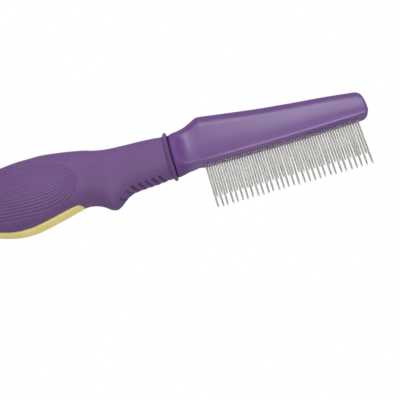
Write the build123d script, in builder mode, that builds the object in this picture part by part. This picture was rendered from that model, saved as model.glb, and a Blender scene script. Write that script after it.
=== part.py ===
from build123d import *
import os
from math import copysign, cos, dist, pi, sin, sqrt

# Undercoat comb: a soft-gripped handle with a long toothed head.
# Origin: centre of the hang hole in the butt, whose axis lies along Y.
# +X runs to the tip of the head, +Z is up and the teeth point to -Z.
# The flat faces of the head face -Y (front) and +Y (back).
#
# Dimensions and tables measure x from the collar plane and z from the neck datum;
# frame_x and frame_z turn them into the frame above.

# ---------------------------------------------------------------- dimensions
HOLE_X = -120.0
HOLE_Z = 2.5
THROUGH_Y = 40.0         # length of cutters that pass right through along Y

# Handle
BUTT_X = -131.0          # end of the handle
BUTT_ROUND = 13.0        # length over which the butt closes
BUTT_POWER = 2.15        # superellipse exponent of the closing
GRIP_FORE = -2.6         # head end of the soft grip
GRIP_WALL = 2.8
CORE_POWER = 2.15        # superellipse exponent of the core's section
CORE_WALL = 2.6
CORE_RIB_X = (-92, -76, -60)
CORE_RIB_THICK = 2.0
CORE_RIB_Z = 2.0

# Palm inlay under the grip
INLAY_PROUD = 1.2
INLAY_THICK = 3.0
INLAY_POWER = 3.6
INLAY_FULL_HALF = 3.8    # half width from which the inlay has its full thickness

# Hang eyelet
EYELET_R = 5.6
EYELET_PROUD = 0.4
HOLE_R = 3.5
HOLE_WALL = 16.6         # straight wall of the hang hole along Y
MOUTH_FLARE = 2.6        # the hole widens by this beyond the wall
MOUTH_DEPTH = 3.2        # over this length

# Collar ring
RING_FORE = 0.0          # head end of the ring
RING_MID = 0.9
RING_POWER = 2.1

# Tang and its cross pins
TANG_Y = 9.0
TANG_Z = 13.0
TANG_R = 2.5
TANG_END = -36.0
TANG_MID = 0.8
TANG_FORE = 4.0          # end of the tang inside the head
TANG_SLOT_OVERRUN = 1.0
RING_SLOT_LENGTH = 60.0
PIN_R = 1.5
PIN_LEN = 12.4
PIN_CHAMFER = 0.3
PIN_X = (-12.0, -28.0)

# Elliptical spigot that leaves a groove between ring and head
SPIGOT_INSET = 0.6
SPIGOT_Y = 9.3 - SPIGOT_INSET
SPIGOT_Z = 11.5 - SPIGOT_INSET
SPIGOT_LENGTH = 3.0

# Head
HEAD_TIP = 103.2
TIP_ROUND_TOP = 3.6
TIP_ROUND_BOTTOM = 2.7
TIP_ROUND_FACE = 1.7
HEAD_TOP_HALF = 1.9      # half width of the flat top
BLEND_START = 1.0        # the section turns from oval to flat-faced from here
BLEND_LENGTH = 10.0
CORNER_POINTS = 4
SIDE_POINTS = 2          # extra points on each straight side
ELLIPSE_STEPS = 400

# Tooth bar
BAR_Y = 5.6
BAR_LOW = -6.0
BAR_HIGH = 0.6
BAR_FROM = 13.8
BAR_TO = 98.8
BAR_CHAMFER = 0.6

# Space inside the head; its floor is the underside of the bar
CAVITY_LOW_HALF = 3.2
CAVITY_SHOULDER_HALF = 3.1
CAVITY_SHOULDER_DROP = 2.6
CAVITY_TOP_HALF = 1.6
HEAD_RIB_X = (34, 56, 78)
HEAD_RIB_THICK = 1.6
HEAD_RIB_HEIGHT = 30.0

# Teeth
TOOTH_R = 0.5
TOOTH_TIP_ROUND = TOOTH_R * 0.92
TOOTH_TIP_LONG = -33.3
TOOTH_TIP_SHORT = -27.4
TOOTH_TOP = -0.4
TOOTH_FIRST = 15.8
TOOTH_LAST = 96.8
TOOTH_COUNT = 61         # long and short in turn, a long one at each end
SHELL_CLEARANCE = 0.03   # round a tooth, in the head's underside
BAR_CLEARANCE = 0.005    # round a tooth, in the bar
SHELL_HOLE_LOW = -12.0
SHELL_HOLE_DEPTH = 6.5


def frame_x(x):
    """Collar-based x to the assembly frame."""
    return x - HOLE_X


def frame_z(z):
    """Neck-datum z to the assembly frame."""
    return z - HOLE_Z


PIN_CENTRES = [(frame_x(x), frame_z(TANG_MID)) for x in PIN_X]
TOOTH_PITCH = (TOOTH_LAST - TOOTH_FIRST) / (TOOTH_COUNT - 1)
TOOTH_X = [frame_x(TOOTH_FIRST + TOOTH_PITCH * i) for i in range(TOOTH_COUNT)]


def curve(points):
    """Monotone cubic through (x, value) pairs, constant beyond both ends."""
    xs = [x for x, _ in points]
    values = [value for _, value in points]
    widths = [b - a for a, b in zip(xs, xs[1:])]
    slopes = [(b - a) / w for a, b, w in zip(values, values[1:], widths)]
    tangents = [slopes[0]] + [0.0] * (len(xs) - 2) + [slopes[-1]]
    for i in range(1, len(xs) - 1):
        if slopes[i - 1] * slopes[i] > 0:
            before = 2 * widths[i] + widths[i - 1]
            after = widths[i] + 2 * widths[i - 1]
            tangents[i] = (before + after) / (before / slopes[i - 1] + after / slopes[i])

    def value_at(x):
        if x <= xs[0]:
            return values[0]
        if x >= xs[-1]:
            return values[-1]
        i = 0
        while x > xs[i + 1]:
            i += 1
        width = widths[i]
        t = (x - xs[i]) / width
        return (
            (1 + 2 * t) * (1 - t) ** 2 * values[i]
            + t * (1 - t) ** 2 * width * tangents[i]
            + t * t * (3 - 2 * t) * values[i + 1]
            + t * t * (t - 1) * width * tangents[i + 1]
        )

    return value_at


# ------------------------------------------ handle section tables: (x, value)
# z of the grip's top line
grip_top = curve([
    (-131, 12.3), (-124, 12.9), (-118, 14.2), (-110, 16.4), (-100, 18.9), (-90, 20.6),
    (-80, 21.3), (-70, 21.3), (-60, 20.4), (-52, 19.1), (-46, 17.9), (-40, 16.0),
    (-35, 14.9), (-30, 14.3), (-22, 13.95), (-12, 13.45), (-7, 13.0), (-4, 12.6),
    (-2.6, 12.5),
])
# z of the grip's underside
grip_bottom = curve([
    (-131, -7.5), (-124, -7.9), (-118, -9.2), (-112, -10.8), (-105, -12.9), (-98, -15.2),
    (-90, -17.4), (-85, -18.0), (-80, -17.9), (-75, -17.2), (-70, -16.1), (-65, -15.0),
    (-60, -13.9), (-55, -13.1), (-50, -12.8), (-46, -13.5), (-43, -14.7), (-40, -16.6),
    (-37.5, -18.5), (-35, -19.2), (-32.5, -18.1), (-30, -15.9), (-27.5, -14.1),
    (-25, -12.9), (-20, -12.2), (-10, -11.6), (-5, -11.0), (-2.6, -10.8),
])
# z of the core's underside
core_bottom = curve([
    (-131, -4.7), (-124, -5.1), (-118, -6.4), (-112, -8.0), (-105, -10.1), (-98, -12.4),
    (-90, -14.6), (-85, -15.2), (-80, -15.1), (-75, -14.4), (-70, -13.3), (-65, -12.2),
    (-60, -11.1), (-55, -10.3), (-50, -10.0), (-40, -10.2), (-30, -9.8), (-20, -9.3),
    (-10, -8.7), (-2.6, -8.0),
])
# half width of the grip
grip_half = curve([
    (-131, 8.8), (-124, 9.3), (-118, 10.2), (-110, 11.6), (-100, 13.2), (-90, 14.3),
    (-80, 14.7), (-70, 14.3), (-60, 13.2), (-50, 11.9), (-45, 11.4), (-40, 11.1),
    (-35, 10.9), (-30, 10.5), (-20, 10.1), (-10, 9.9), (-4, 9.6), (-2.6, 9.5),
])
# z of the widest line
grip_mid = curve([
    (-131, 2.5), (-118, 2.5), (-100, 2.2), (-75, 2.0), (-50, 2.0), (-30, 1.0), (-2.6, 0.8),
])
# superellipse exponents above and below the widest line
grip_power_top = curve([(-131, 2.1), (-100, 2.35), (-70, 2.35), (-45, 2.2), (-2.6, 2.1)])
grip_power_bottom = curve([
    (-131, 2.1), (-100, 2.3), (-70, 2.3), (-50, 2.2), (-42, 2.1), (-35, 2.0),
    (-29, 2.05), (-22, 2.1), (-2.6, 2.1),
])
# half width of the palm inlay
inlay_half = curve([
    (-116.5, 1.2), (-116.0, 1.8), (-115, 2.4), (-113, 3.0), (-108, 3.7), (-100, 4.2),
    (-90, 4.3), (-75, 4.2), (-60, 4.1), (-55.9, 4.0), (-53.9, 3.7), (-52.8, 3.0),
    (-52.1, 2.2), (-51.7, 1.4),
])

# -------------------------------------------- head section tables: (x, value)
# z of the top line
head_top = curve([
    (0.8, 12.5), (3, 13.2), (6, 13.75), (8, 14.2), (10, 14.85), (12, 15.75), (14, 16.8),
    (16, 17.8), (17.6, 18.3), (19.5, 18.05), (25, 17.15), (30, 16.3), (40, 14.65),
    (50, 13.05), (60, 11.75), (70, 10.5), (80, 9.4), (90, 8.1), (98.5, 6.85), (103.3, 6.1),
])
# z of the underside
head_bottom = curve([
    (0.8, -11.1), (3, -10.7), (6, -9.9), (8, -9.25), (10, -8.6), (11.7, -8.3),
    (13.5, -8.55), (15.5, -8.95), (18, -9.05), (50, -9.1), (80, -9.0), (97, -8.65),
    (103.3, -8.35),
])
# half width
head_half = curve([
    (0.8, 9.3), (1.6, 9.45), (3, 9.1), (5, 8.05), (7, 6.95), (9, 6.25), (11, 5.9),
    (14, 5.74), (18, 5.7), (40, 5.7), (80, 5.5), (103.3, 5.3),
])
# height of the bevel below the top
bevel_height = curve([
    (0.8, 4.3), (10, 4.5), (20, 5.4), (30, 5.3), (50, 5.0), (70, 4.7), (90, 4.3), (103.3, 4.2),
])
# height of the bend in the face, as a part of the way from underside to bevel
bend_part = curve([(0.8, 0.40), (10, 0.40), (30, 0.43), (50, 0.49), (103.3, 0.52)])

# ------------------------------------------------------- loft stations along x
GRIP_STATIONS = [
    -130.9, -130.5, -129.7, -128.3, -126, -122.5, -118, -112, -105, -97, -89, -81, -73,
    -66, -60, -55, -50.5, -47, -44.5, -42.5, -40.5, -38.8, -37.2, -35.8, -34.4, -33,
    -31.6, -30, -28.4, -26.5, -24, -20, -15, -10, -6, GRIP_FORE,
]
CORE_STATIONS = [
    -127.3, -125.5, -122, -117, -110, -100, -90, -80, -70, -60, -50, -40, -30, -20, -10,
    GRIP_FORE,
]
CORE_CAVITY_STATIONS = [-107, -98, -88, -78, -68, -58, -45]
BUTT_STATIONS = [-130.9, -130.3, -129.3, -127.5, -125, -121.5, -117, -112, -106]
INLAY_STATIONS = [
    -116.5, -116.0, -115, -113, -108, -100, -90, -82, -75, -67, -60, -55.9, -53.9,
    -52.8, -52.1, -51.7,
]
HEAD_STATIONS = [
    0.8, 1.6, 3, 4.5, 6, 7, 8, 9, 10.5, 12, 14, 16, 17.6, 19.5, 23, 30, 40, 50, 60, 70,
    80, 90, 96, 98.4, 99.6, 100.6, 101.4, 102.1, 102.6, 102.88, 103.06, 103.16,
]
# x, half height, half width
RING_TABLE = [
    (GRIP_FORE, 12.3, 9.8), (-2.2, 12.65, 10.3), (-1.7, 12.95, 10.75),
    (-1.1, 13.1, 10.95), (-0.5, 12.95, 10.75), (-0.15, 12.65, 10.3),
    (RING_FORE, 12.3, 9.9),
]
# x, top of the head cavity
HEAD_CAVITY_TABLE = [(13.0, 12.3), (17.6, 14.9), (BAR_TO + 0.2, 3.3)]


# ------------------------------------------------------------- point helpers
def lerp(start, end, t):
    return (start[0] + (end[0] - start[0]) * t, start[1] + (end[1] - start[1]) * t)


def smooth_step(t):
    """Smooth 0 to 1, clamped at both ends."""
    t = min(1.0, max(0.0, t))
    return t * t * (3 - 2 * t)


def between(start, end, count):
    """Evenly spaced points strictly between start and end."""
    return [lerp(start, end, j / (count + 1)) for j in range(1, count + 1)]


def corner(start, apex, end):
    """Quadratic blend across a rounded corner."""
    steps = [i / (CORNER_POINTS - 1) for i in range(CORNER_POINTS)]
    return [lerp(lerp(start, apex, t), lerp(apex, end, t), t) for t in steps]


def run_along(points):
    """Chord-length parameters from 0 to 1."""
    lengths = [0.0]
    for start, end in zip(points, points[1:]):
        lengths.append(lengths[-1] + dist(start, end))
    return [length / lengths[-1] for length in lengths]


def oval(half_y, up, down, mid, power_top, power_bottom, count=24):
    """Superellipse points (y, z) from the top round by -Y, in the assembly frame."""
    points = []
    for i in range(count):
        angle = pi / 2 + 2 * pi * i / count
        c, s = cos(angle), sin(angle)
        power, height = (power_top, up) if s >= 0 else (power_bottom, down)
        y = copysign(abs(c) ** (2 / power), c) * half_y
        z = mid + copysign(abs(s) ** (2 / power), s) * height
        points.append((y, frame_z(z)))
    return points


def front_half(points):
    """First half of an oval, top to bottom on the -Y side, ends on the mid plane."""
    kept = points[: len(points) // 2 + 1]
    return [(0.0, kept[0][1])] + kept[1:-1] + [(0.0, kept[-1][1])]


def half_ellipse(half_y, half_z, mid, fractions):
    """Points at fractions of the arc length, top to bottom on the -Y side."""
    angles = [pi * i / ELLIPSE_STEPS for i in range(ELLIPSE_STEPS + 1)]
    fine = [(-half_y * sin(a), mid + half_z * cos(a)) for a in angles]
    run = run_along(fine)
    points = []
    j = 0
    for fraction in fractions:
        while j < ELLIPSE_STEPS - 1 and run[j + 1] < fraction:
            j += 1
        t = min(1.0, max(0.0, (fraction - run[j]) / (run[j + 1] - run[j])))
        points.append(lerp(fine[j], fine[j + 1], t))
    return points


# ------------------------------------------------------------------ sections
def butt_scale(x):
    """Elliptic closing of the butt, 1 away from the end and 0 at it."""
    if x >= BUTT_X + BUTT_ROUND:
        return 1.0
    u = (BUTT_X + BUTT_ROUND - x) / BUTT_ROUND
    return (1 - u**BUTT_POWER) ** (1 / BUTT_POWER)


def grip_section(x, offset=0.0):
    scale = butt_scale(x)
    mid = grip_mid(x)
    return oval(
        grip_half(x) * scale + offset,
        (grip_top(x) - mid) * scale + offset,
        (mid - grip_bottom(x)) * scale + offset,
        mid, grip_power_top(x), grip_power_bottom(x), count=32,
    )


def core_section(x, offset=0.0):
    """Front half of the core's section, one grip wall inside the grip."""
    scale = butt_scale(x)
    mid = grip_mid(x)
    inset = offset - GRIP_WALL
    return front_half(oval(
        grip_half(x) * scale + inset,
        (grip_top(x) - mid) * scale + inset,
        (mid - core_bottom(x) + GRIP_WALL) * scale + inset,
        mid, CORE_POWER, CORE_POWER,
    ))


def inlay_section(x):
    """Rounded bar section, nearly flush at the +X end and proud behind it."""
    half = inlay_half(x)
    half_z = INLAY_THICK / 2 * min(1.0, 0.62 + 0.38 * half / INLAY_FULL_HALF)
    proud = INLAY_PROUD * (0.35 + 0.65 * smooth_step((-52.0 - x) / 10.0))
    mid = grip_bottom(x) - proud + INLAY_THICK / 2
    return oval(half, half_z, half_z, mid, INLAY_POWER, INLAY_POWER)


def ring_section(half_z, half_y):
    return oval(half_y, half_z, half_z, RING_MID, RING_POWER, RING_POWER)


def tip_drop(x, radius):
    """How far a surface has rounded in at x, near the tip of the head."""
    u = (x - (HEAD_TIP - radius)) / radius
    return 0.0 if u <= 0 else radius * (1 - sqrt(1 - min(u, 1.0) ** 2))


def faced_section(half, top, bottom, edge, bend):
    """Flat top, bevel, face with a slight bend, rounded lower edge, flat underside."""
    # y, z, length taken up by the corner's blend on each side
    nodes = [
        (0.0, top, 0),
        (-HEAD_TOP_HALF, top, 1.5),
        (-half * 0.86, edge, 1.5),
        (-half, bend, 2.2),
        (-half * 0.97, bottom, 2.0),
        (0.0, bottom, 0),
    ]
    points = [(0.0, top)]
    for i in range(1, 5):
        before, node, after = (n[:2] for n in nodes[i - 1 : i + 2])
        blend = nodes[i][2]
        length_in, length_out = dist(before, node), dist(node, after)
        blend_in = min(blend, (0.5 if i == 1 else 0.25) * length_in)
        blend_out = min(blend, (0.5 if i == 4 else 0.25) * length_out)
        start = lerp(node, before, blend_in / length_in)
        end = lerp(node, after, blend_out / length_out)
        points += between(points[-1], start, 0 if i == 1 else SIDE_POINTS)
        points += corner(start, node, end)
    return points + between(points[-1], (0.0, bottom), SIDE_POINTS) + [(0.0, bottom)]


def head_section(x):
    """Front half of the head's section, top to bottom, ends on the mid plane."""
    half, top, bottom = head_half(x), head_top(x), head_bottom(x)
    edge = top - bevel_height(x)
    bend = bottom + bend_part(x) * (edge - bottom)
    points = faced_section(half, top, bottom, edge, bend)

    # towards the neck it becomes half an oval
    blend = smooth_step((x - BLEND_START) / BLEND_LENGTH)
    if blend < 1.0:
        ellipse = half_ellipse(half, (top - bottom) / 2, (top + bottom) / 2, run_along(points))
        points = [lerp(e, p, blend) for e, p in zip(ellipse, points)]
        points[0], points[-1] = (0.0, top), (0.0, bottom)

    # the tip rounds in at the top, the bottom and the two faces
    low = bottom + tip_drop(x, TIP_ROUND_BOTTOM)
    squash_y = (half - tip_drop(x, TIP_ROUND_FACE)) / half
    squash_z = (top - tip_drop(x, TIP_ROUND_TOP) - low) / (top - bottom)
    return [(y * squash_y, frame_z(low + (z - bottom) * squash_z)) for y, z in points]


# ------------------------------------------------------------- solid helpers
def loft_splines(sections, reference, half=False):
    """Loft through (x, points) sections, all with the reference's spline parameters.

    Half sections are closed by a straight line on the mid plane."""
    knots = run_along(reference if half else reference + reference[:1])
    with BuildPart() as body:
        for x, points in sections:
            spline = Edge.make_spline(
                [Vector(y, z, 0) for y, z in points], periodic=not half, parameters=knots
            )
            with BuildSketch(Plane.YZ.offset(frame_x(x))):
                with BuildLine():
                    add(spline)
                    if half:
                        Line(points[-1], points[0])
                make_face()
        loft()
    return body.part


def cross_cylinders(radius, length, centres=((0, 0),)):
    """Cylinders along Y, centred on the mid plane at (x, z) centres."""
    with BuildPart() as cylinders:
        with BuildSketch(Plane.XZ.offset(-length / 2)):
            with Locations(*centres):
                Circle(radius)
        extrude(amount=length)
    return cylinders.part


def upright_cylinders(xs, radius, low, height):
    """Cylinders along Z in a row on the mid plane."""
    with BuildPart() as cylinders:
        with BuildSketch(Plane.XY.offset(frame_z(low))):
            with Locations(*[(x, 0) for x in xs]):
                Circle(radius)
        extrude(amount=height)
    return cylinders.part


def tang_bar(length):
    """Rounded bar from the butt end of the tang towards the head."""
    with BuildPart() as bar:
        with BuildSketch(Plane.YZ.offset(frame_x(TANG_END))):
            with Locations((0, frame_z(TANG_MID))):
                RectangleRounded(TANG_Y, TANG_Z, TANG_R)
        extrude(amount=length)
    return bar.part


def mirrored(part):
    """The part's twin on the other side of the mid plane."""
    with BuildPart() as twin:
        add(part)
        mirror(about=Plane.XZ, mode=Mode.REPLACE)
    return twin.part


# -------------------------------------------------------------- handle pieces
def make_core_half():
    sections = [(x, core_section(x)) for x in CORE_STATIONS]
    return loft_splines(sections, core_section(-60), half=True)


def make_palm_inlay():
    return loft_splines([(x, inlay_section(x)) for x in INLAY_STATIONS], inlay_section(-80))


def make_hang_eyelet():
    """Plug through the butt, just proud of the grip, with a flared hole."""
    sections = [(x, grip_section(x, EYELET_PROUD)) for x in BUTT_STATIONS]
    butt = loft_splines(sections, grip_section(-60))
    plug = cross_cylinders(EYELET_R, THROUGH_Y)
    hole = cross_cylinders(HOLE_R, THROUGH_Y)
    wall_end = HOLE_WALL / 2
    mouth_end = wall_end + MOUTH_DEPTH
    with BuildPart() as eyelet:
        add(butt)
        add(plug, mode=Mode.INTERSECT)
        add(hole, mode=Mode.SUBTRACT)
        for side in (1, -1):
            with BuildSketch(Plane.XY):
                with BuildLine():
                    Polyline(
                        (0, side * wall_end),
                        (HOLE_R, side * wall_end),
                        (HOLE_R + MOUTH_FLARE, side * mouth_end),
                        (0, side * mouth_end),
                        close=True,
                    )
                make_face()
            revolve(axis=Axis.Y, mode=Mode.SUBTRACT)
    return eyelet.part


def make_grip(core_half, palm_inlay):
    """Soft skin over the core, with openings for the inlay and the eyelet."""
    outside = loft_splines([(x, grip_section(x)) for x in GRIP_STATIONS], grip_section(-60))
    eyelet_hole = cross_cylinders(EYELET_R, THROUGH_Y)
    with BuildPart() as core_blank:
        add(core_half)
        mirror(about=Plane.XZ)
    with BuildPart() as grip:
        add(outside)
        add(core_blank.part, mode=Mode.SUBTRACT)
        add(palm_inlay, mode=Mode.SUBTRACT)
        add(eyelet_hole, mode=Mode.SUBTRACT)
    return grip.part


def make_core_cavity():
    """Space inside the core's front half, parted by cross ribs."""
    sections = [(x, core_section(x, -CORE_WALL)) for x in CORE_CAVITY_STATIONS]
    space = loft_splines(sections, core_section(-60), half=True)
    with BuildPart() as cavity:
        add(space)
        for x in CORE_RIB_X:
            with Locations((frame_x(x), 0, frame_z(CORE_RIB_Z))):
                Box(CORE_RIB_THICK, 40, 60, mode=Mode.SUBTRACT)
    return cavity.part


def make_core_front(core_half):
    cutters = [
        make_core_cavity(),
        cross_cylinders(EYELET_R, THROUGH_Y),
        tang_bar(GRIP_FORE - TANG_END + TANG_SLOT_OVERRUN),
        cross_cylinders(PIN_R, PIN_LEN, PIN_CENTRES),
    ]
    with BuildPart() as core:
        add(core_half)
        for cutter in cutters:
            add(cutter, mode=Mode.SUBTRACT)
    return core.part


def make_tang_pins():
    blanks = cross_cylinders(PIN_R, PIN_LEN, PIN_CENTRES)
    with BuildPart() as pins:
        add(blanks)
        chamfer(pins.edges().filter_by(GeomType.CIRCLE), PIN_CHAMFER)
    return pins.part


def make_collar_ring():
    sections = [(x, ring_section(half_z, half_y)) for x, half_z, half_y in RING_TABLE]
    blank = loft_splines(sections, ring_section(13.0, 10.9))
    slot = tang_bar(RING_SLOT_LENGTH)
    with BuildPart() as ring:
        add(blank)
        add(slot, mode=Mode.SUBTRACT)
    return ring.part


# ---------------------------------------------------------------- head pieces
def make_tang_half():
    """Front half of the spigot and tang, with the pin holes."""
    bar = tang_bar(TANG_FORE - TANG_END)
    pin_holes = cross_cylinders(PIN_R, PIN_LEN, PIN_CENTRES)
    with BuildPart() as tang:
        with BuildSketch(Plane.YZ.offset(frame_x(RING_FORE))):
            with Locations((0, frame_z(TANG_MID))):
                Ellipse(SPIGOT_Y, SPIGOT_Z)
        extrude(amount=SPIGOT_LENGTH)
        add(bar)
        add(pin_holes, mode=Mode.SUBTRACT)
        split(bisect_by=Plane.XZ, keep=Keep.TOP)
    return tang.part


def make_head_cavity():
    """Tapered space inside the head, parted by ribs above the tooth bar."""
    with BuildPart() as cavity:
        for x, top in HEAD_CAVITY_TABLE:
            shoulder = frame_z(top - CAVITY_SHOULDER_DROP)
            with BuildSketch(Plane.YZ.offset(frame_x(x))):
                with BuildLine():
                    Polyline(
                        (-CAVITY_LOW_HALF, frame_z(BAR_LOW)),
                        (CAVITY_LOW_HALF, frame_z(BAR_LOW)),
                        (CAVITY_SHOULDER_HALF, shoulder),
                        (CAVITY_TOP_HALF, frame_z(top)),
                        (-CAVITY_TOP_HALF, frame_z(top)),
                        (-CAVITY_SHOULDER_HALF, shoulder),
                        close=True,
                    )
                make_face()
        loft(ruled=True)
        for x in HEAD_RIB_X:
            with Locations((frame_x(x), 0, frame_z(BAR_HIGH + HEAD_RIB_HEIGHT / 2))):
                Box(HEAD_RIB_THICK, 20, HEAD_RIB_HEIGHT, mode=Mode.SUBTRACT)
    return cavity.part


def make_head_front():
    sections = [(x, head_section(x)) for x in HEAD_STATIONS]
    outside = loft_splines(sections, head_section(45), half=True)
    tang = make_tang_half()
    cavity = make_head_cavity()
    tooth_holes = upright_cylinders(
        TOOTH_X, TOOTH_R + SHELL_CLEARANCE, SHELL_HOLE_LOW, SHELL_HOLE_DEPTH
    )
    with BuildPart() as shell:
        add(outside)
        add(tang)
        add(cavity, mode=Mode.SUBTRACT)
        add(tooth_holes, mode=Mode.SUBTRACT)
    return shell.part


def make_tooth_bar():
    sockets = upright_cylinders(
        TOOTH_X, TOOTH_R + BAR_CLEARANCE, BAR_LOW, TOOTH_TOP - BAR_LOW
    )
    with BuildPart() as bar:
        with BuildSketch(Plane.XY.offset(frame_z(BAR_LOW))):
            with Locations((frame_x((BAR_FROM + BAR_TO) / 2), 0)):
                Rectangle(BAR_TO - BAR_FROM, BAR_Y)
        extrude(amount=BAR_HIGH - BAR_LOW)
        chamfer(bar.edges().filter_by(Axis.Z), BAR_CHAMFER)
        add(sockets, mode=Mode.SUBTRACT)
    return bar.part


def make_teeth(xs, tip):
    """Round teeth with rounded lower ends."""
    pegs = upright_cylinders(xs, TOOTH_R, tip, TOOTH_TOP - tip)
    with BuildPart() as teeth:
        add(pegs)
        tip_edges = teeth.edges().filter_by(GeomType.CIRCLE).group_by(Axis.Z)[0]
        fillet(tip_edges, TOOTH_TIP_ROUND)
    return teeth.part


# ------------------------------------------------------------ build and export
core_half = make_core_half()
palm_inlay = make_palm_inlay()
core_front = make_core_front(core_half)
head_front = make_head_front()

parts = {
    "grip_overmould": make_grip(core_half, palm_inlay),
    "handle_core_front": core_front,
    "handle_core_back": mirrored(core_front),
    "palm_inlay": palm_inlay,
    "hang_eyelet": make_hang_eyelet(),
    "collar_ring": make_collar_ring(),
    "head_front_shell": head_front,
    "head_back_shell": mirrored(head_front),
    "tooth_bar": make_tooth_bar(),
    "long_teeth": make_teeth(TOOTH_X[0::2], TOOTH_TIP_LONG),
    "short_teeth": make_teeth(TOOTH_X[1::2], TOOTH_TIP_SHORT),
    "tang_pins": make_tang_pins(),
}

os.makedirs("parts", exist_ok=True)
for name, part in parts.items():
    part.label = name
    export_step(part, f"parts/{name}.step")
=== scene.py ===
"""Pet comb with a soft purple grip, a corded neck ring, a glossy head and a row of steel teeth.

The comb lies along X: butt at -X, head tip at +X, teeth pointing down to -Z. The camera looks
from the -Y side. Shapes are written in millimetres and moved so that the centre of the hang hole
becomes the origin; materials, lights and the floor are in metres from that origin.
"""
import bmesh
import bpy
import math
import numpy as np
from mathutils import Matrix, Vector


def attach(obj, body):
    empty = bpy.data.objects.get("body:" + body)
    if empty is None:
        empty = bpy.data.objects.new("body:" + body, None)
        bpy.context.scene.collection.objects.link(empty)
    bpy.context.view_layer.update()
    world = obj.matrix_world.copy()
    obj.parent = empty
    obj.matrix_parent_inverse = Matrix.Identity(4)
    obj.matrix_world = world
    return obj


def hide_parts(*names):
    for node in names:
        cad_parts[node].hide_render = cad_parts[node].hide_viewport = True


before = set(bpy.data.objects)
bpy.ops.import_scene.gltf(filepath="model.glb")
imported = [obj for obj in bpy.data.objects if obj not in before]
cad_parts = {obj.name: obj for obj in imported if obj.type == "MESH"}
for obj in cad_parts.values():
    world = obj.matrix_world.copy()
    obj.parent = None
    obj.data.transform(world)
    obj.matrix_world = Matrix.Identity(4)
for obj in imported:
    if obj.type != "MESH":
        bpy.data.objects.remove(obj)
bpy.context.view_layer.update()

# ------------------------------------------------------------------ main sizes, mm
MM = 0.001
HOLE_X, HOLE_Z, HOLE_RADIUS = -120.0, 2.5, 5.6
BUTT_X, BUTT_ROUND = -131.0, 13.0
GRIP_END, GRIP_LIP = -2.6, 0.5
INLAY_BUTT_END, INLAY_HEAD_END = -116.5, -51.7
HEAD_START, HEAD_TIP = 0.8, 103.2
FIRST_TOOTH, LAST_TOOTH, TOOTH_COUNT = 15.8, 96.8, 61
TOOTH_PITCH = (LAST_TOOTH - FIRST_TOOTH) / (TOOTH_COUNT - 1)
TOOTH_RADIUS = 0.5


# ------------------------------------------------------------------ shape tables
def curve(points):
    """Monotone cubic through (x, value) points, held constant beyond both ends."""
    xs, ys = np.array(points, float).T
    count = len(xs)
    slope = (ys[1:] - ys[:-1]) / (xs[1:] - xs[:-1])
    tangent = np.zeros(count)
    tangent[0], tangent[-1] = slope[0], slope[-1]
    for i in range(1, count - 1):
        if slope[i - 1] * slope[i] > 0:
            before, after = xs[i] - xs[i - 1], xs[i + 1] - xs[i]
            w1, w2 = 2 * after + before, after + 2 * before
            tangent[i] = (w1 + w2) / (w1 / slope[i - 1] + w2 / slope[i])

    def value(x):
        x = np.clip(np.asarray(x, float), xs[0], xs[-1])
        i = np.clip(np.searchsorted(xs, x, side="right") - 1, 0, count - 2)
        step = xs[i + 1] - xs[i]
        t = (x - xs[i]) / step
        return ((1 + 2 * t) * (1 - t) ** 2 * ys[i] + t * (1 - t) ** 2 * step * tangent[i]
                + t * t * (3 - 2 * t) * ys[i + 1] + t * t * (t - 1) * step * tangent[i + 1])

    return value


# Every table holds (x, value) pairs in mm, from the butt towards the tip.
# Grip: top z, bottom z, half width, z of the widest line.
grip_top = curve([
    (-131, 12.3), (-124, 12.9), (-118, 14.2), (-110, 16.4), (-100, 18.9), (-90, 20.6),
    (-80, 21.3), (-70, 21.3), (-60, 20.4), (-52, 19.1), (-46, 17.9), (-40, 16.0), (-35, 14.9),
    (-30, 14.3), (-22, 13.95), (-12, 13.45), (-7, 13.0), (-4, 12.6), (-2.6, 12.5)])
grip_bottom = curve([
    (-131, -7.5), (-124, -7.9), (-118, -9.2), (-112, -10.8), (-105, -12.9), (-98, -15.2),
    (-90, -17.4), (-85, -18.0), (-80, -17.9), (-75, -17.2), (-70, -16.1), (-65, -15.0),
    (-60, -13.9), (-55, -13.1), (-50, -12.8), (-46, -13.5), (-43, -14.7), (-40, -16.6),
    (-37.5, -18.5), (-35, -19.2), (-32.5, -18.1), (-30, -15.9), (-27.5, -14.1), (-25, -12.9),
    (-20, -12.2), (-10, -11.6), (-5, -11.0), (-2.6, -10.8)])
grip_half = curve([
    (-131, 8.8), (-124, 9.3), (-118, 10.2), (-110, 11.6), (-100, 13.2), (-90, 14.3),
    (-80, 14.7), (-70, 14.3), (-60, 13.2), (-50, 11.9), (-45, 11.4), (-40, 11.1), (-35, 10.9),
    (-30, 10.5), (-20, 10.1), (-10, 9.9), (-4, 9.6), (-2.6, 9.5)])
grip_mid = curve([
    (-131, 2.5), (-118, 2.5), (-100, 2.2), (-75, 2.0), (-50, 2.0), (-30, 1.0), (-2.6, 0.8)])
# Superellipse powers of the upper and lower half of the grip's section.
grip_power_top = curve([(-131, 2.1), (-100, 2.35), (-70, 2.35), (-45, 2.2), (-2.6, 2.1)])
grip_power_bottom = curve([
    (-131, 2.1), (-100, 2.3), (-70, 2.3), (-50, 2.2), (-42, 2.1), (-35, 2.0), (-29, 2.05),
    (-22, 2.1), (-2.6, 2.1)])
inlay_half = curve([
    (-116.5, 1.2), (-116.0, 1.8), (-115, 2.4), (-113, 3.0), (-108, 3.7), (-100, 4.2),
    (-90, 4.3), (-75, 4.2), (-60, 4.1), (-55.9, 4.0), (-53.9, 3.7), (-52.8, 3.0), (-52.1, 2.2),
    (-51.7, 1.4)])
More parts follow.
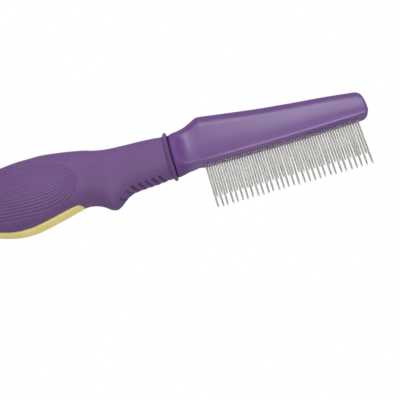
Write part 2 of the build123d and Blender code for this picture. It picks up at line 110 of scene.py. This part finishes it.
# Head: top z, bottom z, half width.
head_top = curve([
    (0.8, 12.5), (3, 13.2), (6, 13.75), (8, 14.2), (10, 14.85), (12, 15.75), (14, 16.8),
    (16, 17.8), (17.6, 18.3), (19.5, 18.05), (25, 17.15), (30, 16.3), (40, 14.65), (50, 13.05),
    (60, 11.75), (70, 10.5), (80, 9.4), (90, 8.1), (98.5, 6.85), (103.3, 6.1)])
head_bottom = curve([
    (0.8, -11.1), (3, -10.7), (6, -9.9), (8, -9.25), (10, -8.6), (11.7, -8.3), (13.5, -8.55),
    (15.5, -8.95), (18, -9.05), (50, -9.1), (80, -9.0), (97, -8.65), (103.3, -8.35)])
head_half = curve([
    (0.8, 9.3), (1.6, 9.45), (3, 9.1), (5, 8.05), (7, 6.95), (9, 6.25), (11, 5.9), (14, 5.74),
    (18, 5.7), (40, 5.7), (80, 5.5), (103.3, 5.3)])
# Height of the bevel below the head's top, and of the ridge above its bottom.
bevel_high = curve([
    (0.8, 4.3), (10, 4.5), (20, 5.4), (30, 5.3), (50, 5.0), (70, 4.7), (90, 4.3), (103.3, 4.2)])
ridge_high = curve([
    (0.8, 1.1), (20, 1.15), (50, 1.12), (70, 1.25), (80, 1.45), (90, 1.65), (103.3, 1.8)])
# Height of the side's bend, as a part of the way from the bottom to the bevel.
bend_part = curve([(0.8, 0.40), (10, 0.40), (30, 0.43), (50, 0.49), (103.3, 0.52)])


# ------------------------------------------------------------------ shape helpers
def smooth(start, end, x):
    t = np.clip((x - start) / (end - start), 0, 1)
    return t * t * (3 - 2 * t)


def signed_power(value, power):
    return np.sign(value) * np.abs(value) ** power


def round_off(radius, t):
    """How far a quarter-round edge has fallen when t runs from 0 to 1 across it."""
    return radius * (1 - np.sqrt(np.maximum(0, 1 - np.clip(t, 0, 1) ** 2)))


def column(values):
    return np.array(values)[:, None]


def turn(count, start=0.0):
    """Angles once around, without repeating the first."""
    return 2 * np.pi * np.arange(count) / count + start


def points(x, y, z):
    return np.stack(np.broadcast_arrays(x, y, z), -1)


def section(x, angle, mid_z, half_y, half_z, power=2.0):
    """Superelliptic rings: x is a column of stations, angle runs around each ring."""
    y = signed_power(np.cos(angle), 2 / power) * half_y
    z = mid_z + signed_power(np.sin(angle), 2 / power) * half_z
    return points(x, y, z)


def resample(outline, count):
    """Points at even spacing along an open (y, z) outline."""
    lengths = np.linalg.norm(np.diff(outline, axis=0), axis=1)
    run = np.concatenate([[0], np.cumsum(lengths)])
    even = np.linspace(0, run[-1], count)
    return np.stack([np.interp(even, run, outline[:, 0]),
                     np.interp(even, run, outline[:, 1])], -1)


# ------------------------------------------------------------------ mesh helpers
def add_mesh(name, verts, faces, sharp_angle=None):
    """Smooth-shaded object from vertices in mm, with its normals made consistent."""
    mesh = bpy.data.meshes.new(name)
    verts = (verts - np.array([HOLE_X, 0.0, HOLE_Z])) * MM
    mesh.from_pydata(verts.tolist(), [], faces, shade_flat=False)
    mesh.validate()
    if sharp_angle is not None:
        mesh.set_sharp_from_angle(angle=math.radians(sharp_angle))
    obj = bpy.data.objects.new(name, mesh)
    bpy.context.scene.collection.objects.link(obj)
    bm = bmesh.new()
    bm.from_mesh(mesh)
    bmesh.ops.recalc_face_normals(bm, faces=bm.faces)
    bm.to_mesh(mesh)
    bm.free()
    return obj


def grid_faces(rows, cols, loop=False, first=0):
    """Quads between closed rings; loop also joins the last ring to the first one."""
    i = np.arange(rows if loop else rows - 1)[:, None]
    j = np.arange(cols)[None, :]
    next_i, next_j = (i + 1) % rows, (j + 1) % cols
    quads = np.stack([i * cols + j, i * cols + next_j,
                      next_i * cols + next_j, next_i * cols + j], -1)
    return (quads.reshape(-1, 4) + first).tolist()


def tube(name, rings, sharp_angle=None):
    """Skin over (ring, point, xyz), each end closed by a fan around its centre."""
    rows, cols, _ = rings.shape
    verts = np.vstack([rings.reshape(-1, 3), rings[0].mean(0), rings[-1].mean(0)])
    start_centre, end_centre = rows * cols, rows * cols + 1
    last = (rows - 1) * cols
    faces = grid_faces(rows, cols)
    faces += [[start_centre, (j + 1) % cols, j] for j in range(cols)]
    faces += [[end_centre, last + j, last + (j + 1) % cols] for j in range(cols)]
    return add_mesh(name, verts, faces, sharp_angle)


def outward_normals(rings):
    along = np.gradient(rings, axis=0)
    around = (np.roll(rings, -1, axis=1) - np.roll(rings, 1, axis=1)) / 2
    normal = np.cross(along, around)
    normal /= np.maximum(np.linalg.norm(normal, axis=-1, keepdims=True), 1e-9)
    from_centre = rings - rings.mean(axis=1, keepdims=True)
    facing = np.sum(from_centre * normal, axis=-1, keepdims=True).sum(axis=1, keepdims=True)
    return normal * np.sign(facing)


# ------------------------------------------------------------------ soft grip
def grip_rings():
    """The plain grip body, before its relief."""
    arc = np.linspace(0, np.pi / 2, 60)
    lip_start = GRIP_END - GRIP_LIP
    stations = np.concatenate([
        BUTT_X + BUTT_ROUND * (1 - np.cos(arc)),
        np.linspace(BUTT_X + BUTT_ROUND, lip_start, 650)[1:],
        [-2.95, -2.8, -2.7, -2.62, GRIP_END]])
    stations[0] += 0.002  # keeps the first ring from shrinking to a point
    x = column(stations)
    butt_power = 2.15
    into_butt = np.clip((BUTT_X + BUTT_ROUND - x) / BUTT_ROUND, 0, 1)
    scale = np.maximum(0.0, 1 - into_butt ** butt_power) ** (1 / butt_power)
    angle = turn(320, start=np.pi / 2)[None, :]
    upper = np.sin(angle) >= 0
    mid = grip_mid(x)
    return section(
        x, angle, mid_z=mid,
        half_y=grip_half(x) * scale,
        half_z=np.where(upper, grip_top(x) - mid, mid - grip_bottom(x)) * scale,
        power=np.where(upper, grip_power_top(x), grip_power_bottom(x)))


PAD_X, PAD_POWER = -80.0, 2.15
PAD_LAST_LEVEL = 8.42


def pad_level(x, z):
    """Ring number of the side pad's nested egg shapes: 0 is the outer ring."""
    mid_z = -0.35 + 0.05 * np.clip(-75 - x, -10, 40)
    from_x, from_z = np.abs(x - PAD_X), np.abs(z - mid_z)
    outer_length = np.where(x > PAD_X, 29.6, 31.0)
    low, high = np.full(x.shape, -3.0), np.full(x.shape, PAD_LAST_LEVEL)
    # halve the range of levels until it closes on the egg that passes through the point
    for _ in range(26):
        level = 0.5 * (low + high)
        length = outer_length - 1.25 * level - 0.0014 * np.maximum(level, 0) ** 4
        height = np.maximum(13.4 - 1.575 * level, 0.02)
        excess = (from_x / length) ** PAD_POWER + (from_z / height) ** PAD_POWER - 1
        low = np.where(excess < 0, level, low)
        high = np.where(excess < 0, high, level)
    return 0.5 * (low + high)


def pad_relief(x, z, normal):
    """Nested grooves of the side pads, and the slight sinking of the whole pad."""
    groove_depth, groove_width, level_step = 0.34, 0.40, 1.68
    level = pad_level(x, z)
    distance = (level - np.clip(np.round(level), 0, 8)) * level_step
    inside = (level > -0.6) & (level < PAD_LAST_LEVEL - 0.01)
    side = smooth(0.55, 0.75, np.abs(normal[..., 1]))
    groove = np.where(inside, groove_depth * np.exp(-(distance / groove_width) ** 2), 0) * side
    return -groove - 0.10 * smooth(-0.4, 0.3, level) * side


def rib_relief(x, y, z, normal):
    """Slanted grooves under the neck; the five nearest the head are deeper, with raised ribs."""
    first_x, pitch, slant = -5.5, 3.72, 0.41
    rise = z - grip_bottom(x)
    reach = ((1 - smooth(1.1, 2.0, rise)) * (normal[..., 2] < 0.1)
             * (1 - 0.76 * smooth(0.2, 2.2, y)))
    relief = np.zeros(x.shape)
    for i in range(7):
        deep = i < 5
        groove_x = first_x - pitch * i + slant * (np.clip(y, -6.5, 3.5) - 3)
        depth = 1.4 if deep else 0.8
        relief -= depth * np.exp(-np.abs((x - groove_x) / 0.68) ** 3) * reach
        if deep:
            rib_x = groove_x + pitch / 2
            relief += 0.16 * np.exp(-np.abs((x - rib_x) / 0.8) ** 2) * reach
    return relief


def make_grip():
    rings = grip_rings()
    normal = outward_normals(rings)
    x, y, z = rings[..., 0], rings[..., 1], rings[..., 2]
    push = pad_relief(x, z, normal) + rib_relief(x, y, z, normal)
    # rolled lip at the head end
    push -= round_off(0.45, (x - GRIP_END + GRIP_LIP) / GRIP_LIP)
    # slight unevenness of the soft skin
    push += 0.035 * np.sin(x * 0.31 + y * 0.4) * np.sin(z * 0.37 - x * 0.11)
    return tube("grip", rings + normal * push[..., None])


def cut_hang_hole(grip):
    bpy.ops.mesh.primitive_cylinder_add(
        vertices=96, radius=HOLE_RADIUS * MM, depth=40 * MM, rotation=(math.pi / 2, 0, 0))
    cutter = bpy.context.object
    hole = grip.modifiers.new("hole", "BOOLEAN")
    hole.object, hole.operation, hole.solver = cutter, "DIFFERENCE", "EXACT"
    bpy.context.view_layer.update()
    depsgraph = bpy.context.evaluated_depsgraph_get()
    cut_mesh = bpy.data.meshes.new_from_object(grip.evaluated_get(depsgraph))
    grip.modifiers.clear()
    whole_mesh = grip.data
    grip.data = cut_mesh
    bpy.data.meshes.remove(whole_mesh)
    bpy.data.objects.remove(cutter)


# ------------------------------------------------------------------ inlay
def make_inlay():
    """Strip let into the underside of the grip, blunt and rounded at both ends."""
    arc = np.linspace(0, np.pi / 2, 26)[1:]
    body_start, body_end = -112.05, -55.2
    x = column(np.unique(np.concatenate([
        [INLAY_BUTT_END],
        -116.45 + 4.4 * (1 - np.cos(arc)),
        np.linspace(body_start, body_end, 190)[1:],
        INLAY_HEAD_END - 3.5 * (1 - np.sin(arc))])))
    butt_round = 6.0
    round_start = INLAY_BUTT_END + butt_round
    to_head = np.clip((x + 54.1) / 2.4, 0, 1)
    to_butt = np.clip((round_start - x) / butt_round, 0, 1)
    end = (np.sqrt(np.maximum(0, 1 - to_head ** 2.4))
           * np.sqrt(np.maximum(0, 1 - to_butt ** 2.2)))
    body = np.where(x > -56.0, 4.05, inlay_half(np.clip(x, round_start, -56.0)))
    swell = 0.35 + 0.65 * np.sqrt(end)
    half_z = 1.5 * swell
    proud = 1.2 * (0.35 + 0.65 * smooth(-52.0, -62.0, x))
    bottom = grip_bottom(x) - proud * swell
    return tube("inlay_strip", section(
        x, turn(96, start=np.pi / 2)[None, :], mid_z=bottom + half_z,
        half_y=np.maximum(body * end, 0.05), half_z=half_z, power=3.4))


# ------------------------------------------------------------------ collar ring
def make_ring():
    """Bulging ring around the neck, corded by slanted ridges."""
    ridges, slant, power, mid_z = 84, 2.4, 2.1, 0.9
    back_x, foot_x, inner_x = -2.56, -2.12, -0.1
    around = turn(640)
    across = column(np.linspace(0, np.pi, 30))
    bulge = np.sin(across) ** 0.85
    cord = 0.23 * np.sin(across) * np.sin(ridges * around + slant * across)

    def bore(x):
        return section(column([x]), around, mid_z, half_y=6.6, half_z=8.4)

    rings = np.concatenate([
        bore(back_x),
        section(column([back_x, foot_x]), around, mid_z, half_y=9.55, half_z=11.95, power=power),
        section(-1.14 - 0.93 * np.cos(across), around, mid_z, half_y=9.85 + 1.1 * bulge + cord,
                half_z=12.25 + 0.85 * bulge + cord, power=power),
        bore(inner_x)])
    rows, cols, _ = rings.shape
    faces = grid_faces(rows, cols, loop=True)
    return add_mesh("neck_ring", rings.reshape(-1, 3), faces, sharp_angle=60)


# ------------------------------------------------------------------ head
CORNER_CUTS = (1.6, 2.2, 3.6, 0.30, 0.55, 1.2)  # rounding of the profile, top to bottom


def rounded_corner(start, node, end, count):
    t = np.linspace(0, 1, count)[:, None]
    return (1 - t) ** 2 * start + 2 * t * (1 - t) * node + t * t * end


def shell_outline(half, top, bottom, bevel, bend, ridge):
    """Faceted half outline on the -Y side with rounded corners, as (y, z)."""
    nodes = np.array([
        (0, top), (-1.9, top), (-half * 0.85, bevel), (-half * 1.01, bend),
        (-half, bottom + ridge), (-half * 0.955, bottom + 0.52 * ridge),
        (-half * 0.22, bottom), (0, bottom)], float)
    outline = [nodes[:1]]
    for i, cut in enumerate(CORNER_CUTS, 1):
        before, node, after = nodes[i - 1:i + 2]
        to_before, to_after = np.linalg.norm(before - node), np.linalg.norm(after - node)
        # only the corners next to the mid plane may use most of their edge
        cut_before = min(cut, (0.8 if i == 1 else 0.45) * to_before)
        cut_after = min(cut, (0.8 if i == len(CORNER_CUTS) else 0.45) * to_after)
        outline.append(rounded_corner(node + (before - node) * cut_before / to_before, node,
                                      node + (after - node) * cut_after / to_after, 14))
    outline.append(nodes[-1:])
    return np.vstack(outline)


def head_profile(x, count=200):
    """Half profile on the -Y side, from the top of the mid plane to the bottom."""
    half, top, bottom = float(head_half(x)), float(head_top(x)), float(head_bottom(x))
    bevel = top - float(bevel_high(x))
    bend = bottom + float(bend_part(x)) * (bevel - bottom)
    outline = shell_outline(half, top, bottom, bevel, bend, float(ridge_high(x)))
    outline = resample(outline, count)
    # the neck starts as an oval and turns into the faceted shell
    blend = float(smooth(1.0, 11.0, x))
    if blend < 1:
        angle = np.linspace(0, np.pi, 1200)
        mid, half_z = 0.5 * (top + bottom), 0.5 * (top - bottom)
        oval = np.stack([-half * np.sin(angle), mid + half_z * np.cos(angle)], -1)
        oval = resample(oval, count)
        outline = oval + (outline - oval) * blend
    # rounded tip
    top_drop, bottom_drop, side_drop = (
        round_off(radius, (x - HEAD_TIP + radius) / radius) for radius in (3.6, 2.7, 1.7))
    squash = (top - top_drop - bottom - bottom_drop) / (top - bottom)
    return np.stack([outline[:, 0] * (half - side_drop) / half,
                     bottom + bottom_drop + (outline[:, 1] - bottom) * squash], -1)


def make_head(name, side):
    """One half of the head: side 1 lies on -Y, side -1 on +Y."""
    rim_radius, rim_centre = 0.28, np.array([0.0, 0.75])
    line_depth, line_width = 0.09, 0.10
    tip_start = 98
    stations = np.concatenate([
        [HEAD_START, 0.83, 0.9, 1.0, 1.15],
        np.linspace(1.3, 22, 150),
        np.linspace(22, tip_start, 260)[1:],
        tip_start + (HEAD_TIP - 0.005 - tip_start) * np.sin(np.linspace(0, np.pi / 2, 80))[1:]])
    rings = []
    for x in stations:
        profile = head_profile(x)
        # rounded rim of the neck
        if x < HEAD_START + rim_radius:
            inset = round_off(rim_radius, 1 - (x - HEAD_START) / rim_radius)
            spoke = profile - rim_centre
            length = np.linalg.norm(spoke, axis=1, keepdims=True)
            profile = rim_centre + spoke * (1 - inset / length)
            profile[0, 0] = profile[-1, 0] = 0.0
        # fine parting line along the mid plane
        y, z = profile.T
        sink = np.exp(-(np.abs(y) / line_width) ** 2) * line_depth
        z = z - sink * np.sign(z - 0.5 * (z[0] + z[-1]))
        rings.append(points(x, np.minimum(y, -0.01) * side, z))
    return tube(name, np.array(rings), sharp_angle=42)


def make_spigot():
    """Oval plug that fills the gap between ring and head; its dark colour is painted shade for
    the gap.
    """
    stations = column([-0.09, 0.1, 0.4, 0.85, 1.4])
    rings = section(stations, turn(120), mid_z=0.7, half_y=9.0, half_z=11.65)
    return tube("neck_spigot", rings, sharp_angle=50)


# ------------------------------------------------------------------ teeth
def make_teeth(name, first, tip_z, seed, bent):
    """Every second tooth from number first; bent gives set bows by place in this row."""
    rng = np.random.RandomState(seed)
    segments = 16
    root_z, free_z = -7.6, -8.3
    angle = turn(segments)
    dome = np.linspace(0, np.pi / 2, 7)[1:]
    verts, faces = [], []
    for n, i in enumerate(range(first, TOOTH_COUNT, 2)):
        x = FIRST_TOOTH + TOOTH_PITCH * i
        lean_x, lean_y, bow = rng.normal(0, 0.0050), rng.normal(0, 0.0040), rng.normal(0, 0.12)
        tip = tip_z + rng.normal(0, 0.10)
        bow = bent.get(n, bow)
        z = column(np.concatenate([np.linspace(root_z, tip + 1.2, 12),
                                   tip + 0.58 * (1 - np.sin(dome))]))
        radius = column(np.concatenate([np.full(12, TOOTH_RADIUS),
                                        TOOTH_RADIUS * np.cos(dome)]))
        # slight taper towards the tip
        radius = np.maximum(radius, 0.03) * (1 - 0.16 * smooth(5.0, 0.5, z - tip))
        down = free_z - z
        shift_x = lean_x * down + bow * np.maximum(down, 0) ** 2 / 600.0
        rings = points(x + shift_x + radius * np.cos(angle),
                       lean_y * down + radius * np.sin(angle), z)
        rows = len(rings)
        start = n * rows * segments
        last = start + (rows - 1) * segments
        verts.append(rings.reshape(-1, 3))
        faces += grid_faces(rows, segments, first=start)
        faces.append(list(range(start, start + segments))[::-1])
        faces.append(list(range(last, last + segments)))
    return add_mesh(name, np.vstack(verts), faces, sharp_angle=60)


# ------------------------------------------------------------------ material helpers
def srgb(*levels):
    """Linear colour from 0-255 sRGB levels."""
    parts = [level / 255 for level in levels]
    return (*(v / 12.92 if v <= 0.04045 else ((v + 0.055) / 1.055) ** 2.4 for v in parts), 1)


def shade(colour, factor):
    return (*(min(v * factor, 1) for v in colour[:3]), 1)


class Material:
    """A Principled material whose textures follow object coordinates in metres."""

    def __init__(self, name):
        self.material = bpy.data.materials.new(name)
        self.material.use_nodes = True
        self.tree = self.material.node_tree
        self.tree.nodes.clear()
        self.output = self.node("ShaderNodeOutputMaterial")
        self.principled = self.node("ShaderNodeBsdfPrincipled")
        self.plug(self.output, 0, self.principled.outputs[0])
        self.place = self.node("ShaderNodeTexCoord").outputs["Object"]

    def node(self, kind, **properties):
        node = self.tree.nodes.new(kind)
        for key, value in properties.items():
            setattr(node, key, value)
        return node

    def plug(self, node, socket, value):
        """Link another node's output to an input, or set the input's plain value."""
        if isinstance(value, bpy.types.NodeSocket):
            self.tree.links.new(value, node.inputs[socket])
        else:
            node.inputs[socket].default_value = value

    def build(self, kind, inputs, output=0, **properties):
        node = self.node(kind, **properties)
        for socket, value in inputs.items():
            self.plug(node, socket, value)
        return node.outputs[output]

    def surface(self, inputs):
        for socket, value in inputs.items():
            self.plug(self.principled, socket, value)

    def noise(self, scale, detail=3.0, roughness=0.55, stretch=(1, 1, 1)):
        place = self.build("ShaderNodeMapping", {"Scale": stretch, "Vector": self.place})
        return self.build("ShaderNodeTexNoise", {
            "Scale": scale, "Detail": detail, "Roughness": roughness, "Vector": place}, "Fac")

    def ramp(self, value, over=(0.3, 0.7), to=(0.0, 1.0)):
        return self.build("ShaderNodeMapRange", {
            "From Min": over[0], "From Max": over[1], "To Min": to[0], "To Max": to[1],
            "Value": value})

    def mix(self, factor, first, second):
        # sockets 6 and 7 are the colour inputs, output 2 the colour result
        return self.build("ShaderNodeMix", {0: factor, 6: first, 7: second}, 2,
                          data_type="RGBA", blend_type="MIX")

    def mottle(self, noise, base, dark, light):
        return self.mix(self.ramp(noise), shade(base, dark), shade(base, light))

    def math(self, operation, *values):
        return self.build("ShaderNodeMath", dict(enumerate(values)), operation=operation)

    def xyz(self):
        return self.build("ShaderNodeSeparateXYZ", {0: self.place}).node.outputs

    def pointiness(self):
        return self.build("ShaderNodeNewGeometry", {}, "Pointiness")

    def bump(self, height, strength, distance, over=None):
        inputs = {"Strength": strength, "Distance": distance, "Height": height}
        if over is not None:
            inputs["Normal"] = over
        return self.build("ShaderNodeBump", inputs)

    def mix_shader(self, factor, first, second):
        return self.build("ShaderNodeMixShader", {0: factor, 1: first, 2: second})

    def emission(self, strength):
        return self.build("ShaderNodeEmission", {"Strength": strength})


# ------------------------------------------------------------------ materials
def rubber(name, base, roughness, grain=1.0, sheen=0.12):
    m = Material(name)
    patches = m.noise(scale=95, detail=4, roughness=0.6)
    colour = m.mottle(patches, base, dark=0.93, light=1.07)
    pointiness = m.pointiness()
    # convex edges paler: rubbed wear
    paler_edges = m.ramp(pointiness, over=(0.505, 0.56))
    # hollows and groove floors darkened with painted shade
    crease_shade = m.ramp(pointiness, over=(0.42, 0.495), to=(1.0, 0.0))
    colour = m.mix(paler_edges, colour, shade(base, 1.22))
    colour = m.mix(crease_shade, colour, shade(base, 0.50))
    coarse = m.bump(m.noise(scale=1500, detail=2, roughness=0.5),
                    strength=0.22 * grain, distance=0.00012)
    fine = m.bump(m.noise(scale=4200, detail=1, roughness=0.5),
                  strength=0.10 * grain, distance=0.00006, over=coarse)
    m.surface({
        "Base Color": colour,
        "Roughness": m.ramp(patches, to=(roughness - 0.05, roughness + 0.07)),
        "Normal": fine,
        "Sheen Weight": sheen,
        "Sheen Roughness": 0.45,
        "Sheen Tint": shade(base, 2.2),
        "Specular IOR Level": 0.35})
    return m.material


def head_painted_highlights(m, colour, base, flow):
    """Painted highlights: a narrow pale band along the ridge above the teeth, and a paler neck
    rim standing in for its highlight.
    """
    x, _, z = m.xyz()
    lift = m.ramp(x, over=(0.180, 0.212), to=(0.0, 0.0008))
    height = m.math("ADD", m.math("SUBTRACT", z, lift), 0.01062)
    distance = m.math("ABSOLUTE", height)
    ridge_highlight = m.math("MULTIPLY", m.ramp(distance, over=(0.0003, 0.0010), to=(1.0, 0.0)),
                  m.ramp(x, over=(0.1265, 0.150)))
    ridge_highlight = m.math("MULTIPLY", ridge_highlight, m.ramp(flow, to=(0.75, 1.0)))
    ridge_highlight = m.math("MULTIPLY", ridge_highlight, m.ramp(x, over=(0.2165, 0.2215), to=(1.0, 0.25)))
    # pale pink-purple of the painted ridge highlight
    colour = m.mix(ridge_highlight, colour, srgb(129, 88, 153))
    # neck rim painted paler, standing in for its highlight on the dulled neck
    rim = m.ramp(x, over=(0.1218, 0.1252), to=(0.85, 0.0))
    return m.mix(rim, colour, shade(base, 1.15))


def satin_neck(m, roughness):
    """Dulls the neck and returns its raised roughness; the rest of the head stays glossy."""
    glossy = m.ramp(m.xyz()[0], over=(0.1240, 0.1295))
    m.surface({"Specular IOR Level": m.ramp(glossy, over=(0.0, 1.0), to=(0.15, 0.5)),
               "Coat Weight": m.ramp(glossy, over=(0.0, 1.0), to=(0.0, 0.18))})
    return m.math("ADD", roughness, m.ramp(glossy, over=(0.0, 1.0), to=(0.16, 0.0)))


def gloss(name, base, roughness, is_head=False):
    m = Material(name)
    flow = m.noise(scale=160, detail=4, roughness=0.6, stretch=(0.25, 1, 1))
    scratches = m.noise(scale=2600, detail=2, roughness=0.6, stretch=(0.05, 1, 1))
    colour = m.mottle(m.noise(scale=60), base, dark=0.96, light=1.04)
    # convex edges paler: partly wear, partly a painted highlight, strongest along the head's
    # sharp ridge
    paler_edges = m.ramp(m.pointiness(), over=(0.512, 0.58), to=(0.0, 0.8))
    colour = m.mix(paler_edges, colour, shade(base, 1.55))
    rough = m.ramp(flow, to=(roughness - 0.02, roughness + 0.03))
    m.surface({"Specular IOR Level": 0.5, "Coat Weight": 0.18, "Coat Roughness": 0.27})
    if is_head:
        colour = head_painted_highlights(m, colour, base, flow)
        rough = satin_neck(m, rough)
    scratched = m.bump(scratches, strength=0.035, distance=0.00004)
    uneven = m.bump(m.noise(scale=420, roughness=0.5),
                    strength=0.03, distance=0.00005, over=scratched)
    m.surface({"Base Color": colour, "Roughness": rough, "Normal": uneven})
    return m.material


def steel(name, base, roughness):
    m = Material(name)
    lines = m.noise(scale=5200, detail=2, roughness=0.6, stretch=(1, 1, 0.03))
    patches = m.noise(scale=140, roughness=0.6)
    m.surface({
        "Base Color": m.mottle(patches, base, dark=0.90, light=1.06),
        "Metallic": 1.0,
        "Roughness": m.ramp(lines, to=(roughness - 0.08, roughness + 0.12)),
        "Normal": m.bump(lines, strength=0.12, distance=0.00003)})
    return m.material


def floor_paint():
    """Near-white floor that glows for the camera and melts into the backdrop."""
    m = Material("floor_paint")
    m.surface({
        "Base Color": m.mix(m.ramp(m.noise(scale=3, detail=2)),
                            (0.80, 0.80, 0.80, 1), (0.84, 0.84, 0.835, 1)),
        "Roughness": 0.85})
    paint = m.principled.outputs[0]
    lit = m.mix_shader(0.55, paint, m.emission(0.62))
    near = m.build("ShaderNodeAddShader", {0: lit, 1: m.emission(0.30)})
    distance = m.build("ShaderNodeVectorMath", {0: m.place}, "Value", operation="LENGTH")
    melted = m.mix_shader(m.ramp(distance, over=(0.9, 5.0)), near, m.emission(1.0))
    camera_ray = m.build("ShaderNodeLightPath", {}, "Is Camera Ray")
    m.plug(m.output, 0, m.mix_shader(camera_ray, paint, melted))
    return m.material


def put(obj, material):
    obj.data.materials.clear()
    obj.data.materials.append(material)
    return obj


PURPLE = srgb(103, 73, 124)
GLOSSY_PURPLE = srgb(98, 64, 126)
YELLOW = srgb(236, 219, 140)
# near-black purple painted as the shade inside the gap between ring and head
GAP_SHADE_PURPLE = srgb(34, 10, 60)
STEEL = (0.645, 0.635, 0.61, 1)

grip_rubber = rubber("grip_rubber", PURPLE, roughness=0.60)
ring_rubber = rubber("ring_rubber", shade(PURPLE, 1.07), roughness=0.58)
head_plastic = gloss("head_plastic", GLOSSY_PURPLE, roughness=0.34, is_head=True)
inlay_rubber = rubber("inlay_rubber", YELLOW, roughness=0.55, grain=0.8, sheen=0.08)
eyelet_plastic = gloss("eyelet_plastic", shade(YELLOW, 0.95), roughness=0.38)
tooth_steel = steel("tooth_steel", STEEL, roughness=0.30)
core_plastic = gloss("core_plastic", shade(PURPLE, 0.6), roughness=0.5)
# the spigot's dark colour is painted shade for the gap
spigot_gap_shade = rubber("spigot_gap_shade", GAP_SHADE_PURPLE, roughness=0.7, grain=0.6, sheen=0.0)

# ------------------------------------------------------------------ build
grip = put(make_grip(), grip_rubber)
inlay = put(make_inlay(), inlay_rubber)
ring = put(make_ring(), ring_rubber)
head_front = put(make_head("head_shell_front", side=1), head_plastic)
head_back = put(make_head("head_shell_back", side=-1), head_plastic)
spigot = put(make_spigot(), spigot_gap_shade)
# a few teeth, mostly at the grip end, are slightly bent
teeth_long = put(make_teeth("teeth_long", first=0, tip_z=-33.3, seed=7,
                            bent={0: 0.30, 1: 0.62, 3: 0.30, 8: 0.35}), tooth_steel)
teeth_short = put(make_teeth("teeth_short", first=1, tip_z=-27.4, seed=11,
                             bent={1: 0.35}), tooth_steel)
cut_hang_hole(grip)
put(grip, grip_rubber)

# object, CAD piece it replaces, slot
for obj, piece, slot in (
        (grip, "grip_overmould", "soft_grip"),
        (inlay, "palm_inlay", "inlay"),
        (ring, "collar_ring", "ring"),
        (head_front, "head_front_shell", "head"),
        (head_back, "head_back_shell", "head"),
        (teeth_long, "long_teeth", "teeth"),
        (teeth_short, "short_teeth", "teeth")):
    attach(obj, "root")
    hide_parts(piece)
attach(spigot, "root")

# CAD pieces that stay as they are
for piece, material in (
        ("hang_eyelet", eyelet_plastic), ("handle_core_front", core_plastic),
        ("handle_core_back", core_plastic), ("tooth_bar", core_plastic),
        ("tang_pins", tooth_steel)):
    put(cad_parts[piece], material)


# ------------------------------------------------------------------ camera
def make_camera():
    """Looks along +Y from below, swung a little about its up axis and rolled."""
    tilt, swing, roll = math.radians(18.9), math.radians(3.0), math.radians(16.0)
    aim_right, aim_down, distance = 7.6, 25.2, 342.0  # mm
    level_right = Vector((1, 0, 0))
    tilted = Vector((0, math.cos(tilt), math.sin(tilt)))
    tilted_up = Vector((0, -math.sin(tilt), math.cos(tilt)))
    swung_right = level_right * math.cos(swing) + tilted * math.sin(swing)
    forward = tilted * math.cos(swing) - level_right * math.sin(swing)
    eye = swung_right * aim_right - tilted_up * aim_down - forward * distance
    eye = Vector((eye.x - HOLE_X, eye.y, eye.z - HOLE_Z)) * MM
    right = swung_right * math.cos(roll) - tilted_up * math.sin(roll)
    up = swung_right * math.sin(roll) + tilted_up * math.cos(roll)
    data = bpy.data.cameras.new("camera")
    data.lens, data.sensor_width, data.clip_start = 58.5, 36.0, 0.01
    camera = bpy.data.objects.new("camera", data)
    bpy.context.scene.collection.objects.link(camera)
    camera.matrix_world = Matrix((*zip(right, up, -forward, eye), (0, 0, 0, 1)))
    bpy.context.scene.camera = camera


make_camera()

# ------------------------------------------------------------------ floor and world
bpy.ops.mesh.primitive_plane_add(size=80, location=(0.1, 0, -0.30))
floor = bpy.context.object
floor.name = "floor"
put(floor, floor_paint())


def make_world():
    """White backdrop for the camera, dim warm light for everything else."""
    world = bpy.data.worlds.new("studio")
    bpy.context.scene.world = world
    world.use_nodes = True
    nodes, links = world.node_tree.nodes, world.node_tree.links
    nodes.clear()
    output = nodes.new("ShaderNodeOutputWorld")
    mix = nodes.new("ShaderNodeMixShader")
    # mix input, colour, strength: light on the comb, then what the camera sees
    for socket, colour, strength in ((1, (1.0, 0.99, 0.98, 1), 0.30), (2, (1, 1, 1, 1), 1.0)):
        background = nodes.new("ShaderNodeBackground")
        background.inputs["Color"].default_value = colour
        background.inputs["Strength"].default_value = strength
        links.new(background.outputs[0], mix.inputs[socket])
    links.new(nodes.new("ShaderNodeLightPath").outputs["Is Camera Ray"], mix.inputs[0])
    links.new(mix.outputs[0], output.inputs[0])


make_world()


# ------------------------------------------------------------------ lights
def area(name, place, size, power, target=(0.13, 0, 0), glossy=True, diffuse=True):
    """Rectangular light of size (width, height) in metres, turned to its target."""
    data = bpy.data.lights.new(name, "AREA")
    data.energy = power
    data.shape = "RECTANGLE"
    data.size, data.size_y = size
    light = bpy.data.objects.new(name, data)
    bpy.context.scene.collection.objects.link(light)
    light.location = place
    aim = Vector(target) - Vector(place)
    light.rotation_euler = aim.to_track_quat("-Z", "Y").to_euler()
    light.visible_glossy, light.visible_diffuse = glossy, diffuse


area("key", place=(0.36, -0.75, 0.72), size=(0.54, 0.6), power=4.4)
area("soft", place=(0.40, -0.66, 0.60), size=(0.7, 0.7), power=3.5, glossy=False)
area("fill", place=(-0.5, -0.8, 0.25), size=(0.6, 0.6), power=0.7)
area("rim", place=(0.2, 0.8, 0.5), size=(0.9, 0.9), power=3.5)
area("low", place=(0.27, -0.62, -0.19), size=(0.32, 0.20), power=2.0, target=(0.17, 0, 0),
     diffuse=False)
area("bounce", place=(0.16, -0.52, -0.26), size=(0.8, 0.12), power=0.72, glossy=False)

bpy.context.scene.view_settings.view_transform = "Standard"
bpy.context.scene.view_settings.look = "None"

bpy.context.view_layer.update()
